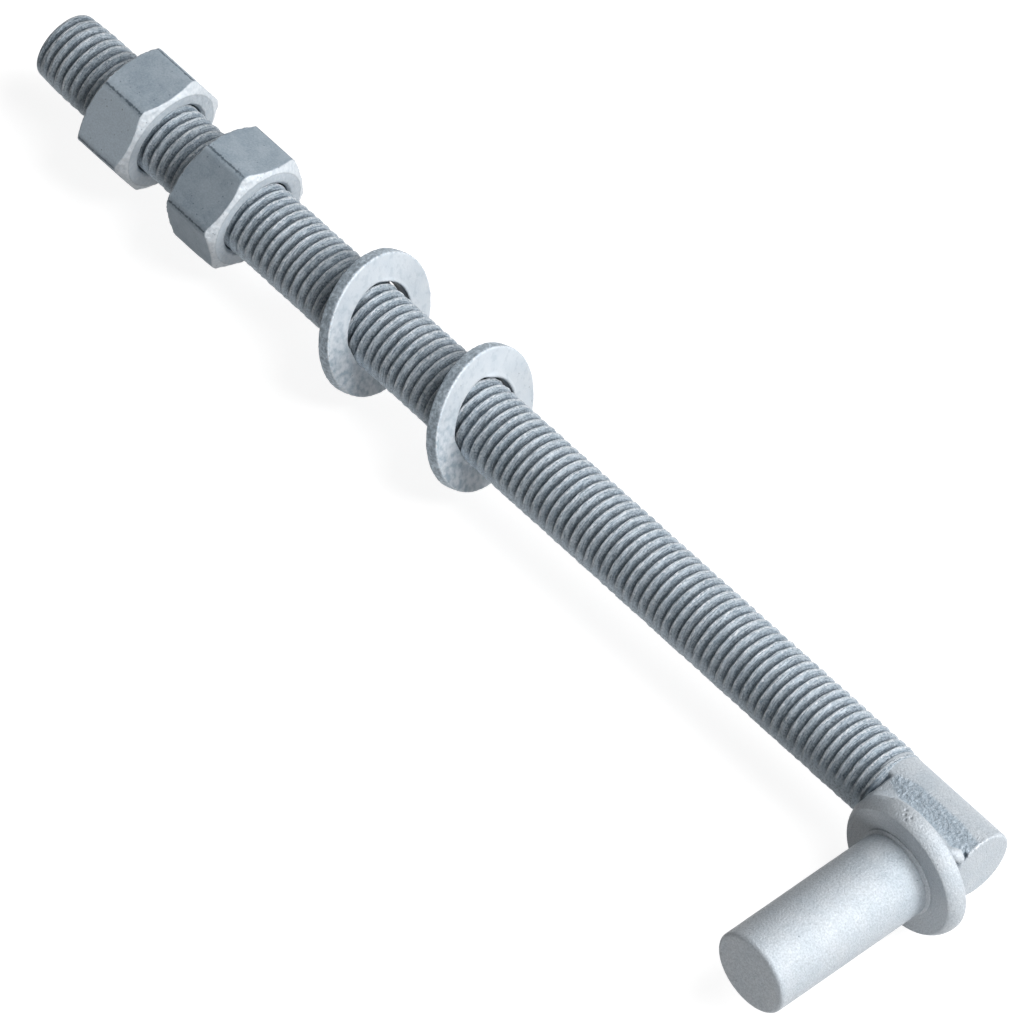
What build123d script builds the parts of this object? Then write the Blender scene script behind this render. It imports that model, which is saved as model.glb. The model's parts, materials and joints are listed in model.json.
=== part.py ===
from build123d import *
import math
import os

# A J-bolt hinge pin: a long threaded rod, with a gate pin and its collar forged square across
# the plain end, carrying two hexagon nuts and two flat washers. Sizes are in millimetres.
# The rod and the pin are both level: the rod runs along X with its threaded tip towards -X, the
# pin points to -Y and +Z is up. The origin is the centre of the collar's seat, on the pin's axis.

# Rod, with lengths measured along it from the pin's axis
thread_diameter = 18.7
shank_diameter = 17.6
rod_reach = 295.5
thread_stop = 17.7
runout_length = 1.6
stub_reach = 10.5
stub_bevel = 0.9
tip_diameter = 17.5
tip_taper_length = 12.0
tip_bevel = 0.8

# Pin and collar
pin_diameter = 20.4
pin_length = 44.3
pin_end_round = 0.9
pin_root_bevel = 0.5
collar_diameter = 34.6
collar_thickness = 4.8
collar_seat_inset = 1.35
collar_crown_depth = 3.3
collar_back_round = 1.0
rod_to_seat = 15.1

# Forged web, which sweeps from the shank up to the back of the collar
web_sweep = 6.0
web_rim_margin = 0.1
web_thread_gap = 0.6
web_end_step = 1.2

# Nuts
nut_across_flats = 28.0
nut_height = 16.0
nut_face_diameter = 26.0
nut_chamfer_angle = 30.0
nut_cone_overrun = 0.9
nut_thread_clearance = 0.08
nut_countersink = 0.9
outer_nut_to_tip = 21.4
nut_spacing = 14.1
outer_nut_turn = 1.7
inner_nut_turn = 43.5

# Washers, which hang on the rod and lean as far as their holes let them
washer_diameter = 34.6
washer_thickness = 3.3
washer_hole_play = 2.4
washer_edge_bevel = 0.4
washer_touch = 0.08
washer_hang = 0.25
outer_washer_reach = 188.4
inner_washer_reach = 152.8
outer_washer_roll = 69.6
inner_washer_roll = 62.5

rod_radius = thread_diameter / 2
shank_radius = shank_diameter / 2
collar_radius = collar_diameter / 2
seat_radius = collar_radius - collar_seat_inset
rod_axis = Axis((0, rod_to_seat, 0), (1, 0, 0))


def across_rod(x):
    """The plane square to the rod at a place along it, with its own X along +Y and its Y up."""
    return Plane(origin=(x, rod_to_seat, 0), x_dir=(0, 1, 0), z_dir=(1, 0, 0))


def make_nut(inner_face_x, turn):
    """A hexagon nut, chamfered at both ends, whose face towards the pin lies at inner_face_x."""
    outer_face_x = inner_face_x - nut_height
    bore_radius = rod_radius + nut_thread_clearance
    face_radius = nut_face_diameter / 2
    # The cone runs a little past the corners, so that it cuts nothing but the chamfers
    cone_radius = nut_across_flats / math.sqrt(3) + nut_cone_overrun
    cone_depth = (cone_radius - face_radius) * math.tan(math.radians(nut_chamfer_angle))
    with BuildPart() as nut:
        with BuildSketch(across_rod(outer_face_x)):
            RegularPolygon(nut_across_flats / 2, 6, major_radius=False, rotation=turn)
            Circle(bore_radius, mode=Mode.SUBTRACT)
        extrude(amount=nut_height)
        bore_edges = nut.edges().filter_by(GeomType.CIRCLE)
        chamfer(bore_edges, nut_countersink)
        with BuildSketch(Plane.XY):
            with BuildLine():
                Polyline(
                    (outer_face_x, rod_to_seat),
                    (outer_face_x, rod_to_seat + face_radius),
                    (outer_face_x + cone_depth, rod_to_seat + cone_radius),
                    (inner_face_x - cone_depth, rod_to_seat + cone_radius),
                    (inner_face_x, rod_to_seat + face_radius),
                    (inner_face_x, rod_to_seat),
                    close=True,
                )
            make_face()
        revolve(axis=rod_axis, mode=Mode.INTERSECT)
    return nut.part


def make_washer(reach, roll):
    """A flat washer hung on the rod, its top leaning towards the threaded tip.

    Its lean is the most that the hole allows: the two rims of the hole meet the crests of the
    thread on opposite sides. It is free sideways, so it hangs a little off the rod's axis.
    """
    hole_radius = rod_radius + washer_hole_play / 2
    half_thickness = washer_thickness / 2
    # The hole's wall ends at its bevels, and those two ends are what meets the thread
    wall_end = half_thickness - washer_edge_bevel
    lean = math.acos((rod_radius + washer_touch) / math.hypot(hole_radius, wall_end))
    lean -= math.atan2(wall_end, hole_radius)
    roll_angle = math.radians(roll)
    normal = Vector(
        math.cos(lean),
        math.sin(lean) * math.cos(roll_angle),
        math.sin(lean) * math.sin(roll_angle),
    )
    centre = Vector(
        -reach,
        rod_to_seat + washer_hang * math.sin(roll_angle),
        -washer_hang * math.cos(roll_angle),
    )
    back_face = Plane(origin=centre - normal * half_thickness, z_dir=normal)
    with BuildPart() as washer:
        with BuildSketch(back_face):
            Circle(washer_diameter / 2)
            Circle(hole_radius, mode=Mode.SUBTRACT)
        extrude(amount=washer_thickness)
        chamfer(washer.edges().filter_by(GeomType.CIRCLE), washer_edge_bevel)
    return washer.part


# Pin and collar on one axis: the collar's rim is crowned, and its seat is faced off flat
with BuildPart() as pin_and_collar:
    with BuildSketch(Plane.XY):
        with BuildLine():
            TangentArc((collar_radius, collar_crown_depth), (seat_radius, 0), tangent=(0, -1))
            Polyline(
                (seat_radius, 0),
                (0, 0),
                (0, collar_thickness),
                (collar_radius, collar_thickness),
                (collar_radius, collar_crown_depth),
            )
        make_face()
    revolve(axis=Axis.Y)
    fillet(pin_and_collar.edges().group_by(Axis.Y)[-1], collar_back_round)
    with BuildSketch(Plane.XZ):
        Circle(pin_diameter / 2)
    extrude(amount=pin_length)
    fillet(pin_and_collar.edges().group_by(Axis.Y)[0], pin_end_round)
    seat_face = pin_and_collar.faces().filter_by(Plane.XZ).sort_by(Axis.Y)[1]
    chamfer(seat_face.inner_wires()[0].edges(), pin_root_bevel)

# Web between shank and collar: its hollow sides run off both of them without a corner
sweep_centre_drop = rod_to_seat - collar_thickness - web_sweep
sweep_centre_z = math.sqrt((shank_radius + web_sweep) ** 2 - sweep_centre_drop**2)
touch_share = shank_radius / (shank_radius + web_sweep)
shank_touch = (-sweep_centre_drop * touch_share, sweep_centre_z * touch_share)
collar_touch = (-sweep_centre_drop - web_sweep, sweep_centre_z)
with BuildPart() as web:
    with BuildSketch(across_rod(web_thread_gap - thread_stop)):
        with BuildLine():
            hollow = RadiusArc(shank_touch, collar_touch, web_sweep)
            mirror(hollow, about=Plane.XZ)
            Line(shank_touch, (shank_touch[0], -shank_touch[1]))
            Line(collar_touch, (collar_touch[0], -collar_touch[1]))
        make_face()
    extrude(amount=thread_stop - web_thread_gap + stub_reach - web_end_step)
    with BuildSketch(Plane.XZ.offset(-rod_to_seat)):
        Circle(collar_radius - web_rim_margin)
    extrude(amount=rod_to_seat, mode=Mode.INTERSECT)

# The forging: rod, web, collar and pin are one piece of steel
with BuildPart() as j_bolt:
    with BuildSketch(Plane.XY):
        with BuildLine():
            Polyline(
                (-rod_reach, rod_to_seat),
                (-rod_reach, rod_to_seat + tip_diameter / 2),
                (-rod_reach + tip_taper_length, rod_to_seat + rod_radius),
                (-thread_stop, rod_to_seat + rod_radius),
                (-thread_stop + runout_length, rod_to_seat + shank_radius),
                (stub_reach, rod_to_seat + shank_radius),
                (stub_reach, rod_to_seat),
                close=True,
            )
        make_face()
    revolve(axis=rod_axis)
    chamfer(j_bolt.edges().group_by(Axis.X)[0], tip_bevel)
    chamfer(j_bolt.edges().group_by(Axis.X)[-1], stub_bevel)
    add(web.part)
    add(pin_and_collar.part)

# Loose pieces, from the threaded tip towards the pin
outer_nut_inner_face = -rod_reach + outer_nut_to_tip + nut_height
inner_nut_inner_face = outer_nut_inner_face + nut_spacing + nut_height
pieces = {
    "j_bolt": j_bolt.part,
    "outer_nut": make_nut(outer_nut_inner_face, outer_nut_turn),
    "inner_nut": make_nut(inner_nut_inner_face, inner_nut_turn),
    "outer_washer": make_washer(outer_washer_reach, outer_washer_roll),
    "inner_washer": make_washer(inner_washer_reach, inner_washer_roll),
}

os.makedirs("parts", exist_ok=True)
for name, piece in pieces.items():
    piece.label = name
    export_step(piece, f"parts/{name}.step")
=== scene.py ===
import json
import math

import bmesh
import bpy
from bpy.props import BoolProperty, FloatProperty, FloatVectorProperty, IntProperty, PointerProperty
from mathutils import Matrix, Vector, noise


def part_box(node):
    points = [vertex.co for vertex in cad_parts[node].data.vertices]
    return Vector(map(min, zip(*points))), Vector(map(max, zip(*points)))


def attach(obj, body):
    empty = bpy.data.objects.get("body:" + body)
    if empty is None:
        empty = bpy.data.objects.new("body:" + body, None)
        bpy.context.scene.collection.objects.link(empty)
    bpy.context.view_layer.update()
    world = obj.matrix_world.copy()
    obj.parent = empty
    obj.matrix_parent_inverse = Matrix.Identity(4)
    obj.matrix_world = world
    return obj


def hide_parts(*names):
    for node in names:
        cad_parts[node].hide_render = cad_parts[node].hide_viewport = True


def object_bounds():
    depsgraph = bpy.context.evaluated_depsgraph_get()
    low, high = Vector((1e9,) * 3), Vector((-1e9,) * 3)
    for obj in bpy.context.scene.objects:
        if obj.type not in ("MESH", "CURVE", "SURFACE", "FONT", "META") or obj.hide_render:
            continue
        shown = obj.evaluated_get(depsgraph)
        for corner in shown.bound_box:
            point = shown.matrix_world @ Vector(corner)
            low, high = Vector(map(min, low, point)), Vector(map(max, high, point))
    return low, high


bl_info = {
    "name": "J-bolt hinge pin",
    "version": (1, 0, 0),
    "blender": (4, 5, 0),
    "location": "View3D > Sidebar > Hinge Pin",
    "description": "Dresses a galvanised J-bolt hinge pin with thread, knuckle, nuts and washers",
    "category": "Object",
}

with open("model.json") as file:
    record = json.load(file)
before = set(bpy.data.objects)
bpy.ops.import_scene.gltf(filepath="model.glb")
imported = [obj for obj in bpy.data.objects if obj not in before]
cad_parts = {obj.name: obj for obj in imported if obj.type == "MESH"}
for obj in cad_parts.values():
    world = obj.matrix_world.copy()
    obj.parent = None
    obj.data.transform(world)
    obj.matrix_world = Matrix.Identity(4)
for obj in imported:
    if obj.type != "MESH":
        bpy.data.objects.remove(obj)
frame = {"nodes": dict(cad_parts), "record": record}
cad_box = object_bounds()

# Places and sizes that the frame gives, in metres
mm = 0.001
mounts = {mount["name"]: mount for mount in frame["record"]["mounts"]}
post_bolt = mounts["post_bolt"]
hinge_pin = mounts["hinge_pin"]
tip_x = post_bolt["pos_m"][0]
rod_y = post_bolt["pos_m"][1]
crest_radius = post_bolt["dims"]["r_mm"] * mm
thread_length = post_bolt["dims"]["length_mm"] * mm
pin_radius = hinge_pin["dims"]["r_mm"] * mm
collar_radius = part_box("j_bolt")[1].z
pin_end_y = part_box("j_bolt")[0].y
floor_z = cad_box[0].z

# Each axis is its direction, a point on it and a direction square to it
rod_direction = Vector((1, 0, 0))
rod_centre = Vector((0, rod_y, 0))
rod_axis = (rod_direction, rod_centre, Vector((0, 1, 0)))
washer_axis = (rod_direction, Vector((0, 0, 0)), Vector((0, 1, 0)))
pin_axis = (Vector((0, -1, 0)), Vector((0, 0, 0)), Vector((1, 0, 0)))


def length(name, description, default):
    """A size that a user may change, with its default in millimetres."""
    return FloatProperty(
        name=name,
        description=description,
        default=default * mm,
        min=0,
        precision=5,
        subtype="DISTANCE",
        unit="LENGTH",
    )


def colour(name, description, default):
    """A surface colour that a user may change."""
    return FloatVectorProperty(
        name=name, description=description, default=default, size=3, min=0, max=1, subtype="COLOR"
    )


def share(name, description, default, highest=1.0):
    """A plain number that a user may change."""
    return FloatProperty(
        name=name, description=description, default=default, min=0, max=highest
    )


def count(name, description, default, least, most):
    """A whole number that a user may change."""
    return IntProperty(
        name=name, description=description, default=default, min=least, max=most
    )


class ThreadSizes(bpy.types.PropertyGroup):
    pitch: length("Pitch", "Length of one turn of the thread", 2.54)
    depth: length("Depth", "Depth of the zinc-filled groove below the crests", 0.85)
    root: length("Root", "Width of the narrow bottom of a groove", 0.4)
    steep: length("Steep side", "Length over which a ridge rises on the tip's side", 0.5)
    crest: length("Crest", "Width of the flat on top of a ridge", 0.28)
    left_hand: BoolProperty(
        name="Left hand",
        description="The turns slant as on a left-hand thread, as pictured",
        default=True,
    )
    tip_radius: length("Tip radius", "Radius of the crests at the threaded tip", 8.75)
    tip_taper: length("Tip taper", "Length over which the crests fall to the tip", 12)
    tip_round: length("Tip round", "Rounding of the rod's end edge", 0.8)
    shoulder: length("Shoulder", "Length of the smooth last ridge before the knuckle", 1.5)
    last_drop: length("Last drop", "How far the last ridge sinks where it fades out", 0.4)
    runout: length("Runout", "Length over which the thread drops to the plain end", 1.0)
    runout_radius: length("Runout radius", "Radius where the thread ends inside the knuckle", 8.3)
    dross: length("Dross", "Height of the zinc's waves and lumps in the thread", 0.12)
    wander: length("Wander", "How far the ridges wander to and fro along the rod", 0.12)
    fill: share("Fill", "How far the zinc fills the grooves along one side of the rod", 0.85)
    facets: count("Facets", "Facets in a turn", 68, 24, 96)


class PinSizes(bpy.types.PropertyGroup):
    ring_radius: length("Ring radius", "Radius of the low ring at the pin's root", 10.85)
    ring_height: length("Ring height", "Height of the low ring at the pin's root", 0.6)
    groove: length("Groove", "Depth of the fine line between ring and pin", 0.26)
    end_round: length("End round", "Rounding of the pin's end edge", 1.0)
    grid: length("Grid", "Size of the facets along the pin", 0.32)
    facets: count("Facets", "Facets round the pin", 224, 48, 256)
    peel: length("Peel", "Height of the zinc's orange peel beside the collar", 0.05)


class KnuckleSizes(bpy.types.PropertyGroup):
    stub_radius: length("Stub radius", "Radius of the plain end of the rod", 8.8)
    stub_start: length("Stub start", "Distance from the pin's axis back to the hidden start", 19.4)
    stub_end: length("Stub end", "Distance from the pin's axis to the stub's end face", 10.5)
    stub_round: length("Stub round", "Rounding of the stub's end edge", 0.7)
    collar_thickness: length("Collar thickness", "Thickness of the collar", 4.8)
    seat_radius: length("Seat radius", "Radius of the collar's flat seat", 15.95)
    crown_depth: length("Crown depth", "Depth over which the rim is crowned", 3.3)
    collar_back_round: length("Back round", "Rounding of the collar's back edge", 0.8)
    web_radius: length("Web radius", "Radius of the web's end towards the thread", 17.2)
    web_width: length("Web width", "Half width of the web where it meets the collar", 14.16)
    web_flare: length("Web flare", "How far the web spreads along the thread as it meets it", 1.9)
    web_corner: share("Web corner", "How square the web's corner towards the thread is", 3.0, 12.0)
    web_end: length("Web end", "Distance from the pin's axis to the web's blunt end", 9.6)
    sweep: length("Sweep", "Radius of the web's hollow sides", 6.0)
    grit: length("Grit", "Height of the pebbly zinc along the web's foot", 0.15)
    crevice: length("Crevice", "Depth of the crevice between thread and web", 0.6)
    facets: count("Facets", "Facets round collar and web before they merge", 192, 48, 256)
    stub_facets: count("Stub facets", "Facets round the stub before it merges", 160, 48, 256)
    blend: count("Blend", "Rounds of smoothing between web and rim", 80, 0, 200)
    voxel: length("Grid", "Size of the facets in the merged skin", 0.24)


class NutSizes(bpy.types.PropertyGroup):
    across_flats: length("Across flats", "Width of a nut across its flats", 28)
    face_radius: length("Face radius", "Radius of a nut's round bearing face", 13)
    chamfer_angle: FloatProperty(
        name="Chamfer",
        description="Angle of the corner chamfers",
        default=math.radians(30),
        subtype="ANGLE",
    )
    corner_round: length("Corner round", "Rounding of the six upright corners", 1.6)
    bore_clearance: length("Bore clearance", "Gap between the bore and the thread's crests", 0.09)
    countersink: length("Countersink", "Width of the bevel at each end of the bore", 0.95)
    runs: length("Runs", "Height of the zinc's runs on chamfers and faces", 0.15)
    facets: count("Facets", "Facets round a nut's chamfers and bore", 144, 48, 256)
    soften: count("Soften", "Rounds of smoothing at the lower front corners", 60, 0, 200)
    voxel: length("Grid", "Size of the facets in a nut's skin", 0.27)


class WasherSizes(bpy.types.PropertyGroup):
    radius: length("Radius", "Outer radius of a washer", 17.3)
    hole_radius: length("Hole radius", "Radius of a washer's hole", 10.55)
    thickness: length("Thickness", "Thickness of a washer", 3.3)
    bridge: length("Bridge", "Height of the zinc that closes the hole's gap on one side", 0.7)
    edge_round: length("Edge round", "Rounding of a washer's edges", 0.4)
    dents: length("Dents", "Depth of the dents in a washer's rim", 0.07)
    facets: count("Facets", "Facets round a washer before its skin", 192, 48, 256)
    voxel: length("Grid", "Size of the facets in a washer's skin", 0.25)


class ZincFinish(bpy.types.PropertyGroup):
    # Pale zinc also paints highlights: along the thread's crests, the washers' front edges and the
    # knuckle's beads and lump
    pale: colour("Pale zinc", "Nearly white zinc on washers and chamfers", (0.62, 0.655, 0.69))
    fresh: colour("Fresh zinc", "Clean bluish zinc, as in the filled grooves", (0.64, 0.74, 0.83))
    bright: colour("Bright zinc", "Fresh satin zinc", (0.535, 0.57, 0.605))
    middle: colour("Middle zinc", "Zinc between bright and dull", (0.385, 0.45, 0.51))
    dull: colour("Dull zinc", "Weathered zinc on the nuts and in the thread", (0.235, 0.30, 0.36))
    # Dark zinc serves for real pits and also paints shade: in the thread's roots, crevices and
    # hollows, bores, and where a nut's chamfer meets its face
    dark: colour("Dark zinc", "Pits and grooves", (0.03, 0.05, 0.07))
    metallic: share("Metallic", "How much the zinc shades as bare metal does", 0.08)
    specular: share("Specular", "Level of the zinc's clear reflection", 0.35)


class StudioSettings(bpy.types.PropertyGroup):
    key_power: share("Key", "Power of the key lamp in watts", 8.8, 1000.0)
    fill_power: share("Fill", "Power of the fill lamp in watts", 4.4, 1000.0)
    top_power: share("Top", "Power of the top lamp in watts", 13.0, 1000.0)
    ambient: share("Ambient", "Strength of the light from all round", 0.0, 2.0)
    floor_glow: share("Floor glow", "How much the floor is whitened where it is seen", 0.9, 2.0)
    floor_shade: share("Floor shade", "How pale the floor is as it lights the part", 0.3)


def waves(place, size, seed=0.0):
    """Smooth noise from -1 to 1, with waves about one size across, in millimetres."""
    return noise.noise(place / (size * mm) + Vector((seed, 1.7 * seed, -seed)))


def streaks(place, along, around, seed=0.0):
    """Smooth noise from -1 to 1, drawn out round the rod, with its two sizes in millimetres."""
    around *= mm
    squeezed = Vector((place.x / (along * mm), place.y / around, place.z / around))
    return noise.noise(squeezed + Vector((seed, 1.7 * seed, -seed)))


def ramp(value, low, high):
    """A smooth step from 0 at low to 1 at high."""
    along = min(max((value - low) / (high - low), 0.0), 1.0)
    return along * along * (3 - 2 * along)


def mm_ramp(value, low, high):
    """A smooth step from 0 to 1 over a stretch that is given in millimetres."""
    return ramp(value, low * mm, high * mm)


def stretch(value, start, full, fading, stop):
    """1 between two values and 0 outside them, with soft ends."""
    return ramp(value, start, full) * (1 - ramp(value, fading, stop))


def path(*places):
    """Places given in millimetres."""
    return [Vector(place) * mm for place in places]


def distance_to(place, places):
    """Distance from a place to the nearest point of short straight runs between other places."""
    nearest = math.inf
    for start, end in zip(places, places[1:]):
        run = end - start
        share_of_run = min(max((place - start).dot(run) / run.length_squared, 0.0), 1.0)
        nearest = min(nearest, (place - start - run * share_of_run).length)
    return nearest


# The line along which the thread's end and the web meet, on one side of the rod
crevice = path(
    (-18.3, 6.0, 0.0),
    (-18.1, 6.4, 3.2),
    (-17.8, 7.3, 5.2),
    (-17.3, 8.8, 6.8),
    (-16.8, 10.6, 7.9),
    (-16.4, 12.7, 8.6),
)


def crevice_share(place, reach):
    """How deep a place lies in the crevice between thread and web, from 0 to 1."""
    folded = Vector((place.x, place.y, abs(place.z)))
    away = distance_to(folded, crevice) + 0.15 * mm * waves(place, 1.2, 3)
    return (1 - ramp(away, 0.3 * reach, reach)) * (1 - mm_ramp(place.y, 11.5, 13))


def around_rod(place):
    """The angle of a place about the rod, in degrees from +Y towards +Z."""
    return math.degrees(math.atan2(place.z, place.y - rod_y)) % 360


def out_from_rod(place):
    """The distance of a place from the rod's axis."""
    return math.hypot(place.y - rod_y, place.z)


def turn_outline(bm, outline, axis, facets, closed=False):
    """Spins an outline of (distance along, radius) pairs about an axis."""
    direction, centre, side = axis
    made = []
    for along, radius in outline:
        made.append(bm.verts.new(centre + direction * along + side * radius))
    ends = made[1:] + made[:1] if closed else made[1:]
    edges = [bm.edges.new(pair) for pair in zip(made, ends)]
    bmesh.ops.spin(
        bm,
        geom=made + edges,
        cent=centre,
        axis=direction,
        angle=2 * math.pi,
        steps=facets,
        use_merge=True,
    )
    bmesh.ops.remove_doubles(bm, verts=bm.verts, dist=0.001 * mm)


def round_edges(bm, edges, amount, segments):
    """Rounds edges by a bevel of several segments."""
    bmesh.ops.bevel(
        bm,
        geom=edges,
        offset=amount,
        offset_type="OFFSET",
        segments=segments,
        profile=0.5,
        affect="EDGES",
        material=-1,
    )


def round_ring(bm, axis, along, radius, amount, segments=8):
    """Rounds the ring of edges that lies at one distance along an axis and one radius from it."""
    direction, centre, _ = axis
    near = 0.02 * mm
    ring = []
    for edge in bm.edges:
        hits = 0
        for vert in edge.verts:
            offset = vert.co - centre
            at = offset.dot(direction)
            out = (offset - direction * at).length
            hits += abs(at - along) < near and abs(out - radius) < near
        if hits == 2:
            ring.append(edge)
    round_edges(bm, ring, amount, segments)


def relax(bm, verts, rounds):
    """Smooths some of a form's vertices again and again."""
    for _ in range(rounds):
        bmesh.ops.smooth_vert(
            bm, verts=verts, factor=0.5, use_axis_x=True, use_axis_y=True, use_axis_z=True
        )


def only(made, kind):
    """The items of one kind in what an operator made."""
    return [item for item in made["geom"] if isinstance(item, kind)]


def extrude(bm, faces, step):
    """Draws faces out by a step and returns them where they end up."""
    moved = bmesh.ops.extrude_face_region(bm, geom=faces)
    bmesh.ops.translate(bm, verts=only(moved, bmesh.types.BMVert), vec=step)
    return only(moved, bmesh.types.BMFace)


def new_layers(bm, *names):
    """Float layers on the vertices, which the finishes read as attributes."""
    return [bm.verts.layers.float.new(name) for name in names]


def face_outwards(bm):
    """Points all faces outwards. Ridges on a long rod mislead recalculating by itself."""
    bmesh.ops.recalc_face_normals(bm, faces=bm.faces)
    closed = not any(edge.is_boundary for edge in bm.edges)
    if closed and bm.calc_volume(signed=True) < 0:
        bmesh.ops.reverse_faces(bm, faces=bm.faces)


def mesh_object(name, bm):
    """Puts a bmesh into a new object at the origin."""
    face_outwards(bm)
    mesh = bpy.data.meshes.new(name)
    bm.to_mesh(mesh)
    bm.free()
    made = bpy.data.objects.new(name, mesh)
    bpy.context.scene.collection.objects.link(made)
    return made


def settle(made):
    """Applies an object's modifiers to its mesh and returns the result as a bmesh."""
    bpy.context.view_layer.update()
    depsgraph = bpy.context.evaluated_depsgraph_get()
    settled = bpy.data.meshes.new_from_object(made.evaluated_get(depsgraph))
    bm = bmesh.new()
    bm.from_mesh(settled)
    bpy.data.meshes.remove(settled)
    bpy.data.objects.remove(made)
    return bm


def skin(made, voxel, smoothing):
    """Merges an object's overlapping forms into one even, softly rounded skin."""
    remesh = made.modifiers.new("Skin", "REMESH")
    remesh.mode = "VOXEL"
    remesh.voxel_size = voxel
    smooth = made.modifiers.new("Soften", "SMOOTH")
    smooth.factor = 0.5
    smooth.iterations = smoothing
    return settle(made)


def cut(made, tool, operation):
    """Adds or removes another object's form, and deletes that other object."""
    boolean = made.modifiers.new("Cut", "BOOLEAN")
    boolean.operation = operation
    boolean.object = tool
    boolean.solver = "EXACT"
    bm = settle(made)
    bpy.data.objects.remove(tool)
    return bm


def push(bm, move):
    """Moves every vertex along its normal by what a function of the vertex gives."""
    bm.normal_update()
    moves = [vert.normal * move(vert) for vert in bm.verts]
    for vert, step in zip(bm.verts, moves):
        vert.co += step


def finish_piece(name, bm, material, body, replaced):
    """Makes the final object of a piece, held inside its solid's box, attaches it to its body and
    hides the solid it replaces.
    """
    low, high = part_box(replaced)
    for vert in bm.verts:
        vert.co = [min(max(at, least), most) for at, least, most in zip(vert.co, low, high)]
    piece = mesh_object(name, bm)
    for polygon in piece.data.polygons:
        polygon.use_smooth = True
    piece.data.materials.append(material)
    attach(piece, body)
    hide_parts(replaced)
    return piece


class Graph:
    """Short words for adding and joining shader nodes."""

    def __init__(self, tree):
        self.tree = tree
        self.tree.nodes.clear()

    def node(self, kind, **settings):
        made = self.tree.nodes.new(kind)
        for key, value in settings.items():
            setattr(made, key, value)
        return made

    def join(self, source, target):
        self.tree.links.new(source, target)

    def feed(self, target, value):
        """Gives a socket a link, a number or an opaque colour."""
        if isinstance(value, bpy.types.NodeSocket):
            self.join(value, target)
        elif isinstance(value, (int, float)):
            target.default_value = value
        else:
            target.default_value = (*value, 1.0)

    def math(self, operation, first, second, clamp=False):
        made = self.node("ShaderNodeMath", operation=operation, use_clamp=clamp)
        self.feed(made.inputs[0], first)
        self.feed(made.inputs[1], second)
        return made.outputs[0]

    def plus(self, first, second):
        return self.math("ADD", first, second)

    def minus(self, first, second):
        return self.math("SUBTRACT", first, second)

    def times(self, first, second):
        return self.math("MULTIPLY", first, second)

    def over(self, first, second):
        return self.math("DIVIDE", first, second)

    def soft_edge(self, mask):
        """A band along a mask's soft edge, a quarter at its middle."""
        return self.times(mask, self.minus(1.0, mask))

    def mix(self, amount, first, second):
        """Mixes two colours."""
        made = self.node("ShaderNodeMix", data_type="RGBA")
        self.feed(made.inputs["Factor"], amount)
        self.feed(made.inputs[6], first)
        self.feed(made.inputs[7], second)
        return made.outputs[2]

    def tint(self, base, colour_over, mask, strength=1.0):
        """Lays one colour over another where a mask says."""
        if strength < 1.0:
            mask = self.times(mask, strength)
        return self.mix(mask, base, colour_over)

    def spread(self, value, low, high, to_low=0.0, to_high=1.0):
        """Maps a stretch of one value onto a stretch of another, and holds it there."""
        made = self.node("ShaderNodeMapRange", clamp=True)
        for label, given in (
            ("Value", value),
            ("From Min", low),
            ("From Max", high),
            ("To Min", to_low),
            ("To Max", to_high),
        ):
            self.feed(made.inputs[label], given)
        return made.outputs["Result"]

    def between(self, mask, at_none, at_full):
        """A value that a mask moves from one number to another."""
        return self.spread(mask, 0.0, 1.0, at_none, at_full)

    def about_half(self, value, contrast):
        """Stretches what lies within a contrast of a half, so that it reaches from 0 to 1."""
        return self.spread(value, self.minus(0.5, contrast), self.plus(0.5, contrast))

    def place(self):
        """The object's own coordinates."""
        return self.node("ShaderNodeTexCoord").outputs["Object"]

    def cloud(self, size, detail):
        """Noise on the object's own coordinates."""
        made = self.node("ShaderNodeTexNoise")
        self.join(self.place(), made.inputs["Vector"])
        self.feed(made.inputs["Scale"], self.over(1.0, size))
        made.inputs["Detail"].default_value = detail
        made.inputs["Roughness"].default_value = 0.55
        return made.outputs["Fac"]

    def mark(self, name):
        """A value that the mesh carries."""
        return self.node("ShaderNodeAttribute", attribute_name=name).outputs["Fac"]

    def zinc(self, kind, *values):
        """Places a shared group, with its own values in the order of its inputs."""
        made = self.node("ShaderNodeGroup", node_tree=shared_group(kind))
        for socket, value in zip(made.inputs, values):
            self.feed(socket, value)
        return made.outputs[0]

    def principled(self, finish, base, roughness, height, strength, distance):
        """The Principled shader that every finish ends in, with its bump."""
        bump = self.node("ShaderNodeBump")
        bump.inputs["Distance"].default_value = distance
        self.feed(bump.inputs["Strength"], strength)
        self.join(height, bump.inputs["Height"])
        shader = self.node("ShaderNodeBsdfPrincipled")
        for label, value in (
            ("Base Color", base),
            ("Roughness", roughness),
            ("Metallic", finish.metallic),
            ("Specular IOR Level", finish.specular),
            ("Normal", bump.outputs["Normal"]),
        ):
            self.feed(shader.inputs[label], value)
        output = self.node("ShaderNodeOutputMaterial")
        self.join(shader.outputs["BSDF"], output.inputs["Surface"])


def mottle(graph, given):
    """Soft cloudy patches in the zinc, from 0 to 1."""
    return graph.about_half(graph.cloud(given["Size"], 4.0), given["Contrast"])


def grain(graph, given):
    """Height of the zinc's orange-peel grain."""
    fine = graph.cloud(graph.times(given["Size"], 0.4), 2.0)
    return graph.plus(graph.cloud(given["Size"], 1.0), graph.times(fine, given["Fine Share"]))


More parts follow.
